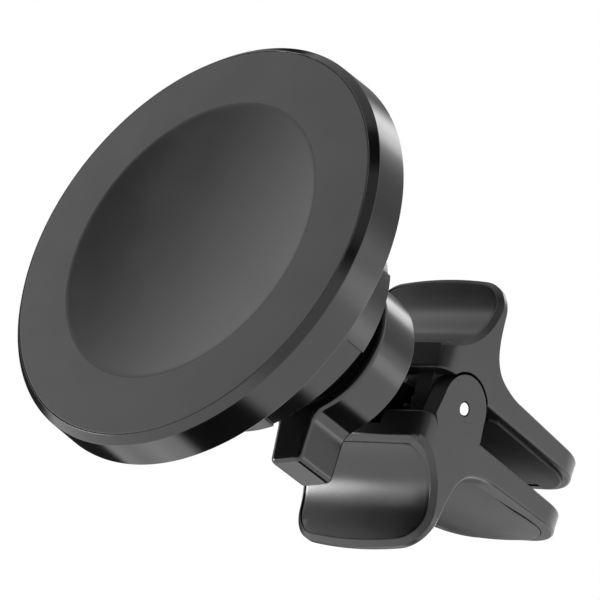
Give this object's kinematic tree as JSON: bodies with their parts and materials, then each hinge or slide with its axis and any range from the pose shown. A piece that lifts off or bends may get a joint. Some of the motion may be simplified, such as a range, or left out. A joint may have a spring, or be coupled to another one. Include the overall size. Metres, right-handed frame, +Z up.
{
  "type": "car phone mount",
  "caption": "Magnetic phone mount for an air vent: disc on a ball joint locked by a winged nut, held by a spring clip with hinged jaws.",
  "frame": {"origin": "middle of the clip's hinge pin, on the mid-plane of the gap that grips the vane", "axes": "+X along the hinge pin, +Y from the disc into the vent, +Z up; the phone rests on the disc's -Y face"},
  "size_m": [0.0586, 0.0768, 0.0586],
  "materials": {
    "face_rubber": "soft matt silicone skin",
    "adhesive_film": "thin double-sided film",
    "rim_gloss": "polished black moulding",
    "magnet_nickel": "nickel-plated magnet segments",
    "shield_steel": "thin rolled steel",
    "tray_plastic": "plain black moulding",
    "cover_satin": "fine satin black texture",
    "socket_plastic": "satin black moulding",
    "screw_steel": "zinc-plated",
    "seat_plastic": "self-lubricating plastic",
    "liner_plastic": "natural self-lubricating plastic",
    "nut_gloss": "semi-gloss black moulding",
    "stud_plastic": "smooth black moulding",
    "pin_steel": "bright ground steel",
    "spring_steel": "music wire",
    "jaw_satin": "satin black moulding",
    "lever_gloss": "glossy black inlay",
    "grip_rubber": "soft matt rubber",
    "panel_gloss": "semi-gloss black inlay"
  },
  "bodies": {
    "carrier": {"ball_stud": "stud_plastic", "stem_block": "stud_plastic", "hinge_pin": "pin_steel", "torsion_springs": "spring_steel"},
    "ball_liner": {"ball_liner": "liner_plastic"},
    "ball_seat": {"ball_seat": "seat_plastic"},
    "head": {"face_pad": "face_rubber", "adhesive_disc": "adhesive_film", "rim_shell": "rim_gloss", "magnet_ring": "magnet_nickel", "shield_ring": "shield_steel", "magnet_tray": "tray_plastic", "back_cover": "cover_satin", "ball_socket": "socket_plastic", "socket_screws": "screw_steel"},
    "lock_nut": {"lock_nut": "nut_gloss"},
    "upper_jaw": {"upper_jaw": "jaw_satin", "upper_lever_pad": "lever_gloss", "upper_grip_pad": "grip_rubber", "upper_outer_panel": "panel_gloss"},
    "lower_jaw": {"lower_jaw": "jaw_satin", "lower_lever_pad": "lever_gloss", "lower_grip_pad": "grip_rubber", "lower_outer_panel": "panel_gloss"}
  },
  "joints": [
    {"name": "head_pitch", "type": "hinge", "parent": "carrier", "child": "ball_liner", "pos_m": [0, -0.0165, 0], "axis": [1, 0, 0], "range_deg": [-15, 15]},
    {"name": "head_yaw", "type": "hinge", "parent": "ball_liner", "child": "ball_seat", "pos_m": [0, -0.0165, 0], "axis": [0, 0, 1], "range_deg": [-15, 15]},
    {"name": "head_spin", "type": "hinge", "parent": "ball_seat", "child": "head", "pos_m": [0, -0.0165, 0], "axis": [0, 1, 0], "continuous": true},
    {"name": "nut_turn", "type": "hinge", "parent": "head", "child": "lock_nut", "pos_m": [0, -0.0165, 0], "axis": [0, 1, 0], "range_deg": [0, 180]},
    {"name": "upper_jaw_open", "type": "hinge", "parent": "carrier", "child": "upper_jaw", "pos_m": [0, 0, 0], "axis": [1, 0, 0], "range_deg": [0, 10], "stiffness_Nm_per_rad": 0.3, "springref_deg": -28.65, "deforming": ["torsion_springs"]},
    {"name": "lower_jaw_open", "type": "hinge", "parent": "carrier", "child": "lower_jaw", "pos_m": [0, 0, 0], "axis": [1, 0, 0], "range_deg": [-10, 0]}
  ],
  "couplings": [
    {"joint": "lower_jaw_open", "follows": "upper_jaw_open", "ratio": -1}
  ]
}
